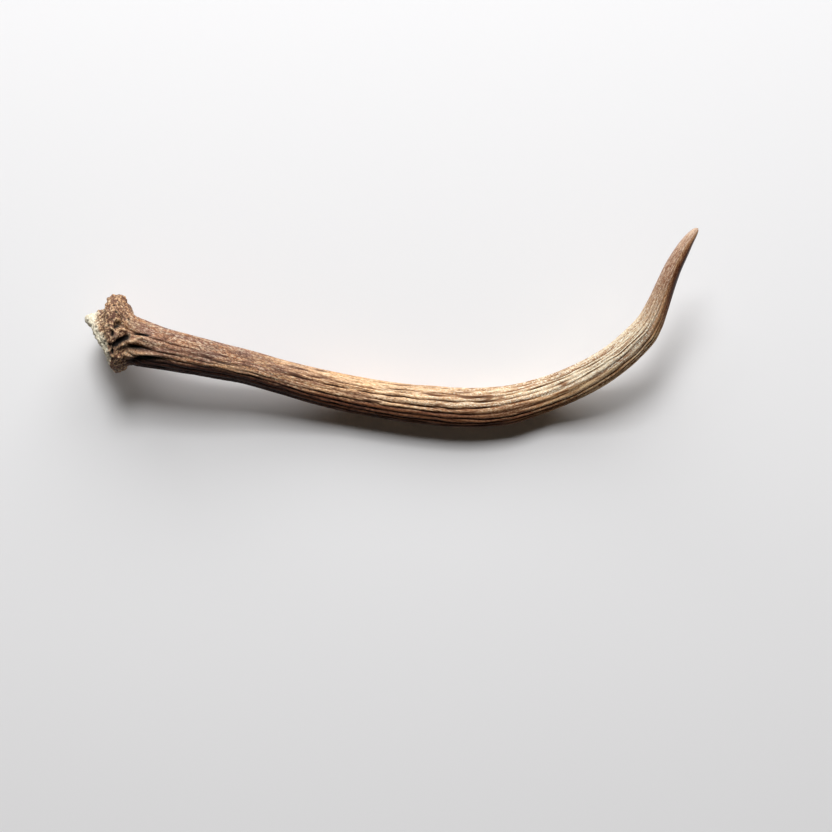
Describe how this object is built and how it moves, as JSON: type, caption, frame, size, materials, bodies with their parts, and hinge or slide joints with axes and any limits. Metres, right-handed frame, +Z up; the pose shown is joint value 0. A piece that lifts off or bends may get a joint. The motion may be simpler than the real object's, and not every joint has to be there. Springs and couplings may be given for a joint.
{
  "type": "deer antler",
  "caption": "Shed deer antler: an unbranched beam of grooved bone with a knobbly burr round its base, bent in a long curve and hooked up at its pointed tip.",
  "frame": {"origin": "centre of the antler's bounding box in plan, at the surface it lies on", "axes": "+X from the burr towards the bend and the tip, +Y towards the side that the tip curls to, +Z up from the surface"},
  "size_m": [0.3248, 0.1048, 0.0604],
  "materials": {
    "antler_bone": "satin"
  },
  "bodies": {
    "root": {"antler": "antler_bone"}
  },
  "joints": []
}
